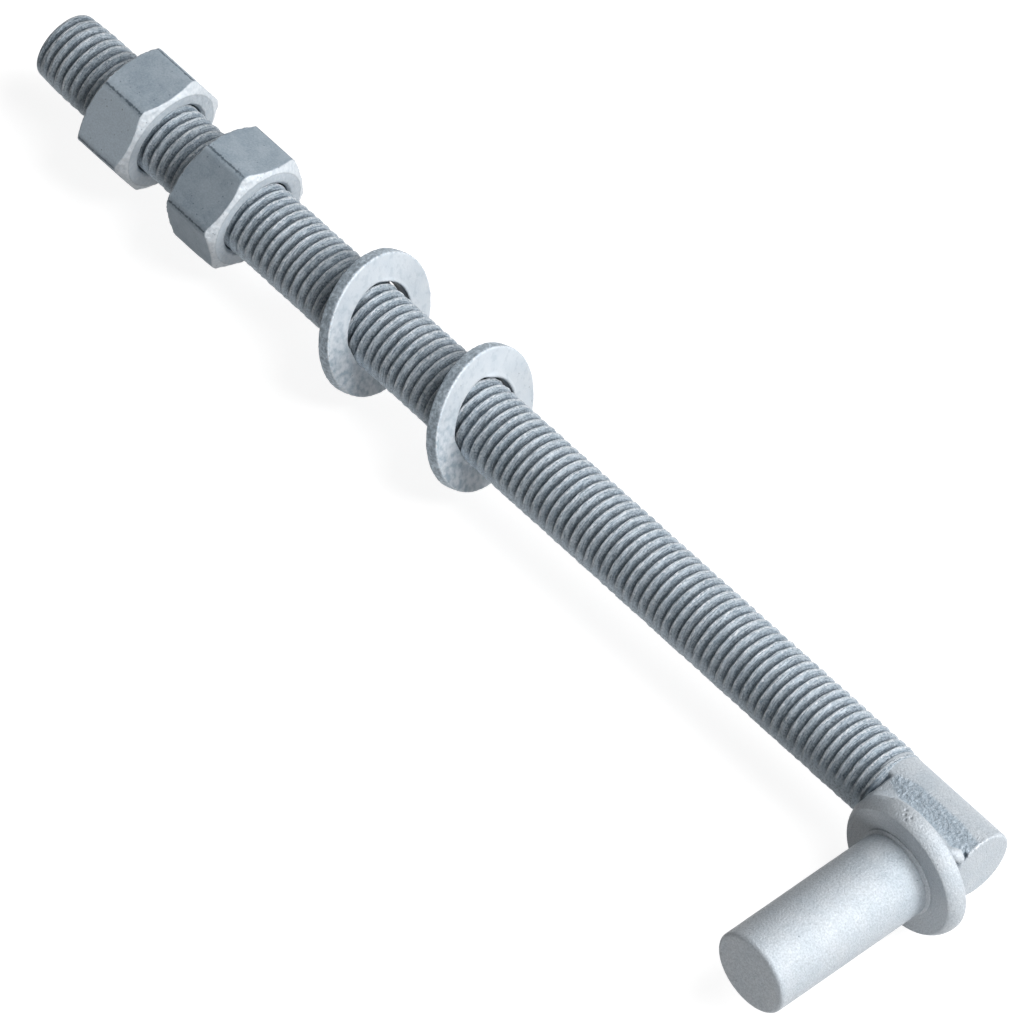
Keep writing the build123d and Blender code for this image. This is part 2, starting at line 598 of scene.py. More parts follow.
def fibres(graph, given):
    """Fibres of zinc drawn out round the rod, from 0 to 1."""
    scale = graph.node("ShaderNodeCombineXYZ")
    for label, size in (("X", "Along"), ("Y", "Around"), ("Z", "Around")):
        graph.join(graph.over(1.0, given[size]), scale.inputs[label])
    squeeze = graph.node("ShaderNodeMapping")
    graph.join(graph.place(), squeeze.inputs["Vector"])
    graph.join(scale.outputs["Vector"], squeeze.inputs["Scale"])
    noisy = graph.node("ShaderNodeTexNoise")
    graph.join(squeeze.outputs["Vector"], noisy.inputs["Vector"])
    noisy.inputs["Scale"].default_value = 1.0
    noisy.inputs["Detail"].default_value = 3.0
    return graph.about_half(noisy.outputs["Fac"], given["Contrast"])


def specks(graph, given):
    """Small scattered specks, 1 in a speck and 0 elsewhere."""
    cells = graph.node("ShaderNodeTexVoronoi")
    graph.join(graph.place(), cells.inputs["Vector"])
    graph.join(graph.over(1.0, given["Spacing"]), cells.inputs["Scale"])
    core = graph.times(given["Reach"], 0.5)
    inside = graph.spread(cells.outputs["Distance"], core, given["Reach"], 1.0, 0.0)
    chosen = graph.node("ShaderNodeSeparateColor")
    graph.join(cells.outputs["Color"], chosen.inputs["Color"])
    return graph.times(inside, graph.math("LESS_THAN", chosen.outputs["Red"], given["Share"]))


# The shared groups: what builds each, what it gives and its inputs
zinc_groups = {
    "Mottle": (mottle, "Mask", {"Size": 4 * mm, "Contrast": 0.2}),
    "Grain": (grain, "Height", {"Size": 0.6 * mm, "Fine Share": 0.4}),
    "Streaks": (fibres, "Mask", {"Along": 0.3 * mm, "Around": 1.5 * mm, "Contrast": 0.2}),
    "Specks": (specks, "Mask", {"Spacing": 1.6 * mm, "Reach": 0.16, "Share": 0.5}),
}


def shared_group(kind):
    """One of the shared shader groups, made when it is first asked for."""
    name = f"Zinc {kind}"
    if name in bpy.data.node_groups:
        return bpy.data.node_groups[name]
    build, output, inputs = zinc_groups[kind]
    tree = bpy.data.node_groups.new(name, "ShaderNodeTree")
    graph = Graph(tree)
    for label, value in inputs.items():
        made = tree.interface.new_socket(name=label, in_out="INPUT", socket_type="NodeSocketFloat")
        made.default_value = value
    tree.interface.new_socket(name=output, in_out="OUTPUT", socket_type="NodeSocketFloat")
    given = graph.node("NodeGroupInput").outputs
    graph.join(build(graph, given), graph.node("NodeGroupOutput").inputs[0])
    return tree


def new_material(name):
    material = bpy.data.materials.new(name)
    material.use_nodes = True
    return material, Graph(material.node_tree)


def forging_zinc(finish):
    """Satin zinc on pin, collar and stub, coarser and duller where the mesh is marked as grainy."""
    material, graph = new_material("Forging Zinc")
    grainy = graph.mark("grain")
    patches = graph.zinc("Mottle", 5 * mm, 0.2)
    freckles = graph.zinc("Mottle", 0.42 * mm, 0.14)
    pits = graph.zinc("Specks", 1.3 * mm, 0.16, 0.05)
    base = graph.mix(graph.between(patches, 0.5, 0.9), finish.middle, finish.bright)
    base = graph.tint(base, finish.dark, graph.between(freckles, 0.26, 0.0))
    pebbles = graph.mix(freckles, finish.dull, finish.middle)
    base = graph.tint(base, pebbles, grainy, 0.8)
    # Painted highlight: pale on the beads along the stub's end edge and on the gathered lump
    base = graph.tint(base, finish.pale, graph.mark("bead_highlight"))
    base = graph.tint(base, finish.dark, pits, 0.7)
    # Painted shade: darkens the knuckle's carved crevice, fold, pits and notch
    base = graph.tint(base, finish.dark, graph.mark("hollow"), 0.95)
    roughness = graph.between(freckles, 0.48, 0.36)
    height = graph.zinc("Grain", 0.5 * mm, 0.6)
    strength = graph.between(grainy, 0.7, 1.0)
    graph.principled(finish, base, roughness, height, strength, 0.24 * mm)
    return material


def thread_zinc(finish):
    """Zinc on the thread: a painted highlight as a thin pale line on each ridge, streaked duller
    sides, roots darkened as painted shade, and painted shade by the knuckle.
    """
    material, graph = new_material("Thread Zinc")
    groove = graph.mark("groove")
    filled = graph.mark("filled")
    streaked = graph.zinc("Streaks", 0.24 * mm, 2.6 * mm, 0.13)
    breaks = graph.zinc("Streaks", 0.5 * mm, 0.9 * mm, 0.1)
    patches = graph.zinc("Mottle", 6 * mm, 0.2)
    grit = graph.zinc("Mottle", 0.5 * mm, 0.12)
    pits = graph.zinc("Specks", 0.9 * mm, 0.3, 0.3)
    side = graph.mix(streaked, finish.dull, finish.middle)
    side = graph.tint(side, finish.bright, patches, 0.25)
    side = graph.tint(side, finish.dark, graph.between(grit, 0.07, 0.0))
    side = graph.tint(side, finish.dark, graph.spread(streaked, 0.0, 0.5, 0.36, 0.0))
    ragged = graph.plus(groove, graph.between(grit, 0.2, -0.16))
    # Painted highlight: a pale line along each crest, fainter where the grooves are filled and
    # broken in places
    crest_highlight = graph.spread(ragged, 0.02, 0.32, 1.0, 0.0)
    crest_highlight = graph.times(crest_highlight, graph.spread(filled, 0.3, 0.9, 1.0, 0.5))
    crest_highlight = graph.times(crest_highlight, graph.between(breaks, 0.3, 1.0))
    base = graph.tint(side, finish.pale, crest_highlight)
    # Painted shade: the groove roots are darkened, less where the zinc filled them
    root = graph.spread(ragged, 0.5, 1.05, 0.0, 0.72)
    root = graph.times(root, graph.spread(filled, 0.2, 0.9, 1.0, 0.3))
    base = graph.tint(base, finish.dark, root)
    spots = graph.times(pits, graph.spread(groove, 0.1, 0.9, 0.25, 0.85))
    base = graph.tint(base, finish.dark, spots)
    base = graph.tint(base, finish.fresh, filled, 0.95)
    stains = graph.times(filled, graph.spread(grit, 0.0, 0.6, 0.42, 0.0))
    base = graph.tint(base, finish.dark, stains)
    # Painted shade: darkens the places marked as hollow, past the thread's end and in the crevice
    # by the web
    base = graph.tint(base, finish.dark, graph.mark("hollow"), 0.95)
    roughness = graph.between(grit, 0.62, 0.45)
    height = graph.plus(graph.times(graph.zinc("Grain", 0.35 * mm, 0.6), 0.45), streaked)
    graph.principled(finish, base, roughness, height, 0.9, 0.14 * mm)
    return material


def nut_zinc(finish):
    """Dull pitted zinc on the flats with one flat painted paler as if lit, pale on chamfers and
    faces, fine dark corners, and painted shade at the bore and where chamfer meets face.
    """
    material, graph = new_material("Nut Zinc")
    end = graph.mark("end")
    face = graph.mark("face")
    patches = graph.zinc("Mottle", 4 * mm, 0.16)
    grit = graph.zinc("Mottle", 0.8 * mm, 0.18)
    fine = graph.zinc("Mottle", 0.4 * mm, 0.14)
    pits = graph.zinc("Specks", 1.3 * mm, 0.18, 0.35)
    flat = graph.mix(graph.between(patches, 0.3, 0.95), finish.dull, finish.middle)
    flat = graph.tint(flat, finish.middle, grit, 0.4)
    # Painted light: one flat of each nut is made paler, as if lit
    flat = graph.tint(flat, finish.fresh, graph.mark("painted_lit_flat"), 0.85)
    flat = graph.tint(flat, finish.dark, graph.between(fine, 0.16, 0.0))
    chamfered = graph.mix(graph.between(grit, 0.4, 1.0), finish.middle, finish.pale)
    faced = graph.mix(graph.between(grit, 0.1, 0.75), finish.middle, finish.bright)
    outer_line = graph.math("MULTIPLY", graph.soft_edge(end), 3.0, clamp=True)
    chamfered = graph.tint(chamfered, finish.pale, outer_line)
    base = graph.mix(end, flat, graph.mix(face, chamfered, faced))
    # Painted shade: a thin dark line where the chamfer meets the face
    base = graph.tint(base, finish.dark, graph.soft_edge(face), 0.9)
    ragged = graph.plus(graph.mark("corner"), graph.between(grit, -0.2, 0.2))
    base = graph.tint(base, finish.dark, graph.spread(ragged, 0.12, 0.4, 0.75, 0.0))
    # Painted shade: darkens the bore next to the rod
    base = graph.tint(base, finish.dark, graph.mark("bored"), 0.9)
    base = graph.tint(base, finish.dark, pits, 0.5)
    roughness = graph.between(end, 0.6, 0.45)
    height = graph.zinc("Grain", 0.6 * mm, 0.5)
    graph.principled(finish, base, roughness, height, graph.between(end, 0.5, 0.9), 0.1 * mm)
    return material


def washer_zinc(finish):
    """Pale clouded zinc on the faces, darker towards the lower-left side as painted shade, a
    blotched rim, a painted highlight as a pale line along the front edge, and painted shade in the
    hole.
    """
    material, graph = new_material("Washer Zinc")
    rim = graph.mark("rim")
    clouds = graph.zinc("Mottle", 4 * mm, 0.2)
    blotches = graph.zinc("Mottle", 1.6 * mm, 0.12)
    grit = graph.zinc("Mottle", 0.6 * mm, 0.16)
    spots = graph.zinc("Mottle", 0.9 * mm, 0.08)
    pits = graph.zinc("Specks", 1.3 * mm, 0.16, 0.16)
    face = graph.mix(graph.between(clouds, 0.45, 0.85), finish.middle, finish.bright)
    face = graph.tint(face, finish.dull, graph.spread(blotches, 0.0, 0.35, 0.22, 0.0))
    # Painted shade: the face turns darker and blotched towards the lower-left side, where the rod's
    # shadow falls
    worn = graph.mix(blotches, finish.dull, finish.bright)
    face = graph.tint(face, worn, graph.mark("lower_shade"), 0.75)
    side = graph.mix(graph.between(blotches, 0.5, 1.0), finish.dull, finish.fresh)
    side = graph.tint(side, finish.dull, graph.spread(grit, 0.0, 0.5, 0.55, 0.0))
    side = graph.tint(side, finish.dark, graph.between(spots, 0.35, 0.0))
    base = graph.mix(rim, face, side)
    ragged = graph.plus(graph.mark("edge"), graph.between(grit, -0.2, 0.2))
    # Painted highlight: a pale line along the rounded front edge
    base = graph.tint(base, finish.pale, graph.spread(ragged, 0.15, 0.4, 0.9, 0.0))
    base = graph.tint(base, finish.dark, pits, 0.5)
    # Painted shade: darkens the wall of the hole
    base = graph.tint(base, finish.dark, graph.mark("bored"), 0.9)
    roughness = graph.between(clouds, 0.52, 0.42)
    height = graph.zinc("Grain", 0.6 * mm, 0.5)
    graph.principled(finish, base, roughness, height, graph.between(rim, 0.5, 1.0), 0.1 * mm)
    return material


class HINGEPIN_OT_thread(bpy.types.Operator):
    """Make the rod's galvanised thread, with its tip and its last ridge"""

    bl_idname = "hingepin.thread"
    bl_label = "Thread"

    def execute(self, context):
        sizes = context.scene.hinge_pin_thread
        bm = self.one_turn(sizes)
        self.repeat(bm, sizes.pitch)
        self.trim(bm, sizes)
        self.shape(bm, sizes)
        material = thread_zinc(context.scene.hinge_pin_zinc)
        finish_piece("rod_thread", bm, material, "bolt", "j_bolt")
        return {"FINISHED"}

    def ridge(self, sizes):
        """A ridge from root to root, as pairs of distance along and share of the fall."""
        gentle = sizes.pitch - sizes.root - sizes.steep - sizes.crest
        pairs = [(0.0, 1.0)]
        for run, steps, fall in (
            (sizes.root, 1, 1.0),
            (sizes.steep, 3, 0.0),
            (sizes.crest, 2, 0.0),
            (gentle, 6, 1.0),
        ):
            along, start = pairs[-1]
            for step in range(1, steps + 1):
                pairs.append((along + run * step / steps, start + (fall - start) * step / steps))
        return pairs

    def one_turn(self, sizes):
        """One turn of the thread: a ridge with one steep side, spun as it moves along."""
        bm = bmesh.new()
        (groove_layer,) = new_layers(bm, "groove")
        profile = []
        for along, fall in self.ridge(sizes):
            radius = crest_radius - sizes.depth * fall
            vert = bm.verts.new((tip_x - 2 * sizes.pitch + along, rod_y + radius, 0))
            vert[groove_layer] = fall
            profile.append(vert)
        edges = [bm.edges.new(pair) for pair in zip(profile, profile[1:])]
        hand = -1 if sizes.left_hand else 1
        bmesh.ops.spin(
            bm,
            geom=profile + edges,
            cent=rod_centre,
            axis=rod_direction,
            dvec=rod_direction * sizes.pitch / sizes.facets,
            angle=2 * math.pi * hand,
            steps=sizes.facets,
        )
        return bm

    def repeat(self, bm, pitch):
        """Doubles the turns until they pass the end of the thread, then joins them."""
        turns = 1
        while turns * pitch < thread_length + 4 * pitch:
            copy = bmesh.ops.duplicate(bm, geom=bm.verts[:] + bm.edges[:] + bm.faces[:])
            moved = only(copy, bmesh.types.BMVert)
            bmesh.ops.translate(bm, verts=moved, vec=rod_direction * pitch * turns)
            turns *= 2
        bmesh.ops.remove_doubles(bm, verts=bm.verts, dist=0.01 * mm)

    def trim(self, bm, sizes):
        """Cuts both ends square and closes them."""
        stop_x = tip_x + thread_length + sizes.runout
        for place, side in ((tip_x, -1), (stop_x, 1)):
            bmesh.ops.bisect_plane(
                bm,
                geom=bm.verts[:] + bm.edges[:] + bm.faces[:],
                dist=0.001 * mm,
                plane_co=(place, 0, 0),
                plane_no=rod_direction * side,
                clear_outer=True,
            )
        rims = [edge for edge in bm.edges if edge.is_boundary]
        bmesh.ops.holes_fill(bm, edges=rims)

    def shape(self, bm, sizes):
        """Tapers the tip, fills the grooves where the zinc ran, and marks what the finish needs."""
        groove_layer = bm.verts.layers.float["groove"]
        filled_layer, hollow_shade_layer = new_layers(bm, "filled", "hollow")
        stop_x = tip_x + thread_length
        for vert in bm.verts:
            place = vert.co.copy()
            out = Vector((0, place.y - rod_y, place.z))
            from_tip = place.x - tip_x
            to_stop = stop_x - place.x
            angle = around_rod(place)
            # The zinc fills the grooves between two angles, and begins earlier by the knuckle
            early = 14 * mm_ramp(-to_stop, -30, -4)
            filled = stretch(angle, 170 - early, 196 - early, 226, 250)
            filled = min(filled * (1 + 0.25 * waves(place, 5, 31)), 1.0)
            groove = vert[groove_layer] * ramp(to_stop, 0.2 * sizes.shoulder, sizes.shoulder)
            radius = crest_radius - sizes.depth * groove * (1 - sizes.fill * filled)
            lumps = waves(place, 2.6) + 0.7 * waves(place, 1.1, 3)
            fibres = streaks(place, 0.6, 2.2, 12)
            pooled = max(waves(place, 4.5, 8), 0.0)
            radius += sizes.dross * (0.7 * lumps + 1.1 * fibres + 2.2 * pooled * groove - 0.5)
            taper = ramp(from_tip, -sizes.tip_taper, sizes.tip_taper) * 2 - 1
            limit = sizes.tip_radius + (crest_radius - sizes.tip_radius) * min(taper, 1)
            near_end = max(sizes.tip_round - from_tip, 0.0)
            limit -= sizes.tip_round - math.sqrt(max(sizes.tip_round**2 - near_end**2, 0.0))
            radius = min(radius, limit)
            # The last ridge stands highest at 150 degrees and sinks on both sides of it
            last = mm_ramp(-to_stop, -3, -0.5)
            radius -= sizes.last_drop * last * ramp(abs(angle - 150), 35, 75)
            radius += (sizes.runout_radius - radius) * ramp(-to_stop, 0, sizes.runout)
            vert[groove_layer] = max(groove, 0.3 * mm_ramp(-to_stop, -0.6, 0.1))
            vert[filled_layer] = filled
            # Painted shade: past the thread's end on the side towards the collar, and in the
            # crevice by the web
            dark = stretch(angle, 115, 145, 225, 250) * mm_ramp(-to_stop, -0.1, 0.6)
            if to_stop < 4 * mm:
                dark = max(dark, crevice_share(place, 0.8 * mm))
            vert[hollow_shade_layer] = dark
            inner = mm_ramp(from_tip, 0.2, 2) * mm_ramp(to_stop, 0, 2)
            along = place.x + sizes.wander * inner * waves(place, 2.2, 17)
            vert.co = Vector((along, rod_y, 0)) + out.normalized() * radius


class HINGEPIN_OT_pin(bpy.types.Operator):
    """Make the gate pin, turned on one axis, with the low ring at its root"""

    bl_idname = "hingepin.pin"
    bl_label = "Pin"

    def execute(self, context):
        sizes = context.scene.hinge_pin_pin
        bm = bmesh.new()
        turn_outline(bm, self.outline(sizes), pin_axis, sizes.facets)
        bmesh.ops.recalc_face_normals(bm, faces=bm.faces)
        self.weather(bm, sizes)
        material = forging_zinc(context.scene.hinge_pin_zinc)
        finish_piece("gate_pin", bm, material, "bolt", "j_bolt")
        return {"FINISHED"}

    def outline(self, sizes):
        """Distance along and radius, from inside the collar over ring, side and end to the axis."""
        hidden = -1.0 * mm
        ring, top = sizes.ring_radius, sizes.ring_height
        outline = [(hidden, 0), (hidden, ring), (0.35 * top, ring)]
        for degrees in (25, 50, 75):
            angle = math.radians(degrees)
            along = top * (0.35 + 0.65 * math.sin(angle))
            outline.append((along, ring - (ring - pin_radius) * (1 - math.cos(angle))))
        outline.append((top + 0.05 * mm, pin_radius - sizes.groove))
        outline.append((top + 0.3 * mm, pin_radius - 0.1 * sizes.groove))
        start, stop = top + 0.6 * mm, -pin_end_y - sizes.end_round
        rows = math.ceil((stop - start) / sizes.grid)
        outline += [(start + (stop - start) * row / rows, pin_radius) for row in range(rows)]
        for degrees in range(0, 91, 15):
            angle = math.radians(degrees)
            back = sizes.end_round * (1 - math.cos(angle))
            outline.append((stop + sizes.end_round * math.sin(angle), pin_radius - back))
        rings = 16
        flat = pin_radius - sizes.end_round
        outline += [(-pin_end_y, flat * (1 - ring_at / rings)) for ring_at in range(1, rings + 1)]
        return outline

    def weather(self, bm, sizes):
        """Orange peel in the zinc, coarse beside the collar and fine elsewhere."""
        (grain_layer,) = new_layers(bm, "grain")

        def peel(vert):
            place = vert.co
            coarse = mm_ramp(place.y, -17, -2) * (1 - mm_ramp(place.y, -1.1, -0.8))
            coarse *= 0.35 + 0.65 * ramp(waves(place, 5, 41), -0.3, 0.3)
            vert[grain_layer] = 0.45 * coarse
            grit = waves(place, 0.95) + 0.6 * waves(place, 0.6, 5)
            soft = waves(place, 5, 2)
            return sizes.peel * (coarse * (grit - 0.4) + 0.25 * grit + 0.4 * soft - 0.4)

        push(bm, peel)


class HINGEPIN_OT_knuckle(bpy.types.Operator):
    """Make the forged knuckle: plain stub, web and collar in one zinc-coated skin"""

    bl_idname = "hingepin.knuckle"
    bl_label = "Knuckle"

    def execute(self, context):
        sizes = context.scene.hinge_pin_knuckle
        bm = bmesh.new()
        self.stub(bm, sizes)
        self.collar(bm, sizes)
        self.web(bm, sizes)
        self.lumps(bm, sizes)
        bm = skin(mesh_object("knuckle_forms", bm), sizes.voxel, 3)
        self.blend(bm, sizes)
        self.weather(bm, sizes)
        material = forging_zinc(context.scene.hinge_pin_zinc)
        finish_piece("knuckle", bm, material, "bolt", "j_bolt")
        return {"FINISHED"}

    def stub(self, bm, sizes):
        """The plain end of the rod."""
        part = bmesh.new()
        outline = [
            (-sizes.stub_start, 0),
            (-sizes.stub_start, sizes.stub_radius),
            (sizes.stub_end, sizes.stub_radius),
            (sizes.stub_end, 0),
        ]
        turn_outline(part, outline, rod_axis, sizes.stub_facets)
        round_ring(part, rod_axis, sizes.stub_end, sizes.stub_radius, sizes.stub_round)
        self.add(bm, part)

    def collar(self, bm, sizes):
        """The collar, with its flat seat, its crowned rim and its rounded back edge."""
        part = bmesh.new()
        inset = collar_radius - sizes.seat_radius
        crown = (inset**2 + sizes.crown_depth**2) / (2 * inset)
        outline = [(-sizes.collar_thickness, 0), (-sizes.collar_thickness, collar_radius)]
        steps = 8
        for step in range(steps + 1):
            angle = math.asin(sizes.crown_depth / crown) * step / steps
            along = crown * math.sin(angle) - sizes.crown_depth
            outline.append((along, collar_radius - crown * (1 - math.cos(angle))))
        outline.append((0, 0))
        turn_outline(part, outline, pin_axis, sizes.facets)
        back = -sizes.collar_thickness
        round_ring(part, pin_axis, back, collar_radius, sizes.collar_back_round)
        self.add(bm, part)

    def web(self, bm, sizes):
        """The web between collar and stub: a disc whose sides are drawn in along a hollow."""
        part = bmesh.new()
        steps = 20
        start_y = sizes.collar_thickness - 1.8 * mm
        touch_y = sizes.collar_thickness + 1.35 * sizes.sweep
        rise = (touch_y - start_y) / steps
        turn = Matrix.Translation((0, start_y, 0)) @ Matrix.Rotation(math.pi / 2, 4, "X")
        bmesh.ops.create_circle(
            part,
            cap_ends=True,
            radius=sizes.web_radius,
            segments=sizes.facets,
            matrix=turn,
        )
        top = part.faces[:]
        for _ in range(steps):
            top = extrude(part, top, (0, rise, 0))
        for vert in part.verts:
            up = max(vert.co.y - sizes.collar_thickness, 0.0)
            hollow = math.sqrt(max(sizes.sweep**2 - (sizes.sweep - up) ** 2, 0.0))
            widest = sizes.web_width - hollow
            flare = sizes.web_flare * mm_ramp(up, -0.5, 4.5)
            vert.co.x -= flare * mm_ramp(-vert.co.x, 4, 16)
            share_of_reach = min(max(-vert.co.x, 0.0) / (sizes.web_radius + flare), 1.0)
            widest *= (1 - share_of_reach**sizes.web_corner) ** (1 / sizes.web_corner)
            vert.co.z = min(max(vert.co.z, -widest), widest)
            vert.co.x = min(vert.co.x, sizes.web_end)
        self.add(bm, part)

    def lumps(self, bm, sizes):
        """Zinc gathered between rim and stub at the blunt end, and beads along the end's edge."""
        gathered = (
            ((8.2, 6.0, 10.9), 1.08),
            ((9.0, 6.3, 10.5), 1.38),
            ((9.3, 7.1, 9.8), 1.56),
            ((9.5, 7.8, 9.0), 1.5),
            ((9.8, 8.4, 8.0), 1.2),
            ((9.9, 8.6, 7.0), 0.96),
            ((8.0, 6.9, 9.9), 1.08),
        )
        for place, radius in gathered:
            matrix = Matrix.Translation(Vector(place) * mm)
            bmesh.ops.create_icosphere(bm, subdivisions=3, radius=radius * mm, matrix=matrix)
        edge_radius = sizes.stub_radius - 0.3 * mm
        # Along the end's edge, from one angle to another in degrees from +Y towards +Z
        beads, first, last = 17, 119, 66
        for bead in range(beads):
            jitter = noise.noise(Vector((bead * 1.37, 0.5, 0.2)))
            angle = math.radians(first + (last - first) * (bead + 0.5 * jitter) / (beads - 1))
            radius = (0.4 + 0.1 * jitter + 0.06 * (1 - bead / beads)) * mm
            across = Vector((0, math.cos(angle), math.sin(angle))) * edge_radius
            along = rod_direction * (sizes.stub_end - 0.35 * mm + 0.1 * mm * jitter)
            matrix = Matrix.Translation(rod_centre + along + across)
            bmesh.ops.create_icosphere(bm, subdivisions=2, radius=radius, matrix=matrix)

    def add(self, bm, part):
        """Puts one finished form beside the others."""
        bmesh.ops.recalc_face_normals(part, faces=part.faces)
        mesh = bpy.data.meshes.new("form")
        part.to_mesh(mesh)
        part.free()
        bm.from_mesh(mesh)
        bpy.data.meshes.remove(mesh)

    def blend(self, bm, sizes):
        """Rounds the web's edges on the thread's side, so that it runs smoothly into the rim."""
        near = [
            vert
            for vert in bm.verts
            if vert.co.x < -7.5 * mm and 2.6 * mm < vert.co.y < 12 * mm and abs(vert.co.z) > 4 * mm
        ]
        relax(bm, near, sizes.blend)

    def weather(self, bm, sizes):
        """Adds the pebbly band, the crevice, a fold, pits, soft waves and faint turning lines."""
        grain_layer, hollow_shade_layer, bead_highlight_layer = new_layers(bm, "grain", "hollow", "bead_highlight")
        fold = path((-16.3, 7.2, 5.2), (-15.6, 5.4, 6.9), (-15.2, 3.8, 8.0))
        notch = path((9.4, 10.6, 7.8), (10.1, 10.2, 7.2), (10.4, 9.2, 6.4))
        pits = path((-1.0, 1.2, 16.7), (-1.9, 1.9, 17.0), (-0.3, 2.2, 17.1), (-2.6, 2.9, 17.1))
        (lump,) = path((9.3, 7.5, 9.2))

        def zinc(vert):
            place = vert.co
            along = mm_ramp(place.x, -15.8, -9)
            middle = (12.3 - 0.9 * mm_ramp(place.x, 2, 10)) * mm
            width = (1.3 + 1.7 * along) * mm
            band = mm_ramp(width - abs(place.y - middle), -0.3, 0.7)
            band *= mm_ramp(place.x, -16, -14.5) * mm_ramp(abs(place.z), 5.8, 6.8)
            band *= 1 - mm_ramp(place.x, 9.8, 10.2)
            lumpy = 1 - mm_ramp((place - lump).length, 1.5, 2.6)
            grit = waves(place, 0.8) + 0.7 * waves(place, 0.5, 5)
            move = sizes.grit * (band * grit + 0.7 * lumpy * grit)
            carved = 0.0
            if place.x < -12 * mm:
                folded = 1 - mm_ramp(distance_to(place, fold), 0.1, 0.55)
                carved = max(crevice_share(place, 1.2 * mm), 0.6 * folded)
            for pit in pits:
                carved = max(carved, 0.45 * (1 - mm_ramp((place - pit).length, 0.1, 0.5)))
            carved = max(carved, 1 - mm_ramp(distance_to(place, notch), 0.1, 0.65))
            move -= sizes.crevice * carved
            front = ramp(-vert.normal.y, 0.95, 0.99) * mm_ramp(-place.y, -0.3, -0.1)
            from_pin = math.hypot(place.x, place.z)
            lathe = math.sin(2 * math.pi * from_pin / (1.2 * mm))
            peel = 0.02 * waves(place, 5, 2) + 0.014 * waves(place, 1.0, 7)
            move += 0.02 * mm * front * (lathe - 1) + (1 - front) * peel * mm
            out = out_from_rod(place) - sizes.stub_radius
            at_edge = math.hypot(out, place.x - sizes.stub_end)
            row = mm_ramp(place.z, 5.8, 6.6) * ramp(waves(place, 0.8, 13), -0.05, 0.3)
            row *= 1 - mm_ramp(at_edge, 0.2, 0.6)
            # Painted highlight on the beads and the lump, which the finish makes pale
            vert[bead_highlight_layer] = max(0.8 * row, 0.6 * lumpy)
            vert[grain_layer] = min(band + 0.3 * lumpy, 1.0)
            # The carved places are darkened in the finish as painted shade
            vert[hollow_shade_layer] = carved
            return move

        push(bm, zinc)


